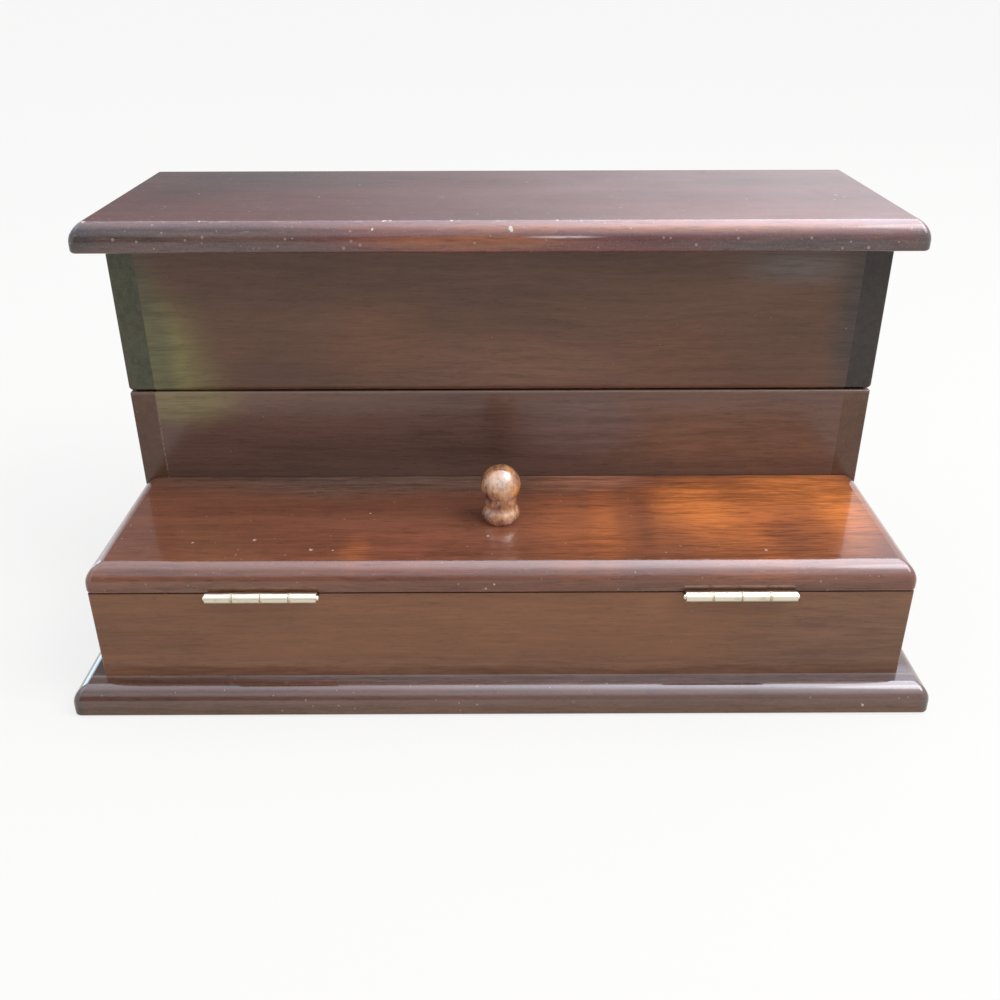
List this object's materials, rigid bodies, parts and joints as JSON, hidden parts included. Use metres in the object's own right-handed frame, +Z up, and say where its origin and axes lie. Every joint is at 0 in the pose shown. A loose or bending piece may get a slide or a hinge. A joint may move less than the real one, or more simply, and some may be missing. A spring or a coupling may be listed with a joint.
{
  "type": "desk organizer with lift lid",
  "caption": "Two-tier wooden desk box on a moulded base: a low box with a front-hinged lid and turned knob, and a tall box whose deep cover turns back on rear hinges.",
  "frame": {"origin": "on the desk, under the middle of the base board", "axes": "+X to the object's right as its lid is faced, +Y to its back, +Z up"},
  "size_m": [0.3204, 0.1868, 0.1657],
  "materials": {
    "case_wood": "dark reddish-brown stain under a glossy, slightly worn varnish",
    "lid_wood": "red-brown stain under a glossy varnish, fine grain along the board",
    "top_wood": "dark reddish-brown stain under a glossy varnish, nicked along the front edge",
    "knob_wood": "red-brown stain, varnish mottled by handling",
    "brass": "plain drawn brass, slightly dulled",
    "steel": "plain steel"
  },
  "bodies": {
    "carcase": {"base_board": "case_wood", "left_side": "case_wood", "right_side": "case_wood", "low_front": "case_wood", "tall_front": "case_wood", "back_panel": "case_wood", "base_screws": "steel", "front_hinge_left_box_leaf": "brass", "front_hinge_right_box_leaf": "brass", "rear_hinge_left_box_leaf": "brass", "rear_hinge_right_box_leaf": "brass", "front_hinge_left_pin": "brass", "front_hinge_right_pin": "brass", "rear_hinge_left_pin": "brass", "rear_hinge_right_pin": "brass", "front_box_hinge_screws": "brass", "rear_box_hinge_screws": "brass"},
    "lid": {"front_lid": "lid_wood", "knob": "knob_wood", "knob_screw": "brass", "front_hinge_left_lid_leaf": "brass", "front_hinge_right_lid_leaf": "brass", "front_lid_hinge_screws": "brass"},
    "cover": {"cover_top": "top_wood", "cover_left": "case_wood", "cover_right": "case_wood", "cover_front": "case_wood", "cover_back": "case_wood", "rear_hinge_left_cover_leaf": "brass", "rear_hinge_right_cover_leaf": "brass", "rear_cover_hinge_screws": "brass"}
  },
  "joints": [
    {"name": "front_lid_hinge", "type": "hinge", "parent": "carcase", "child": "lid", "pos_m": [0, -0.08635, 0.04765], "axis": [1, 0, 0], "range_deg": [0, 200]},
    {"name": "rear_cover_hinge", "type": "hinge", "parent": "carcase", "child": "cover", "pos_m": [0, 0.08635, 0.0964], "axis": [-1, 0, 0], "range_deg": [0, 170]}
  ]
}
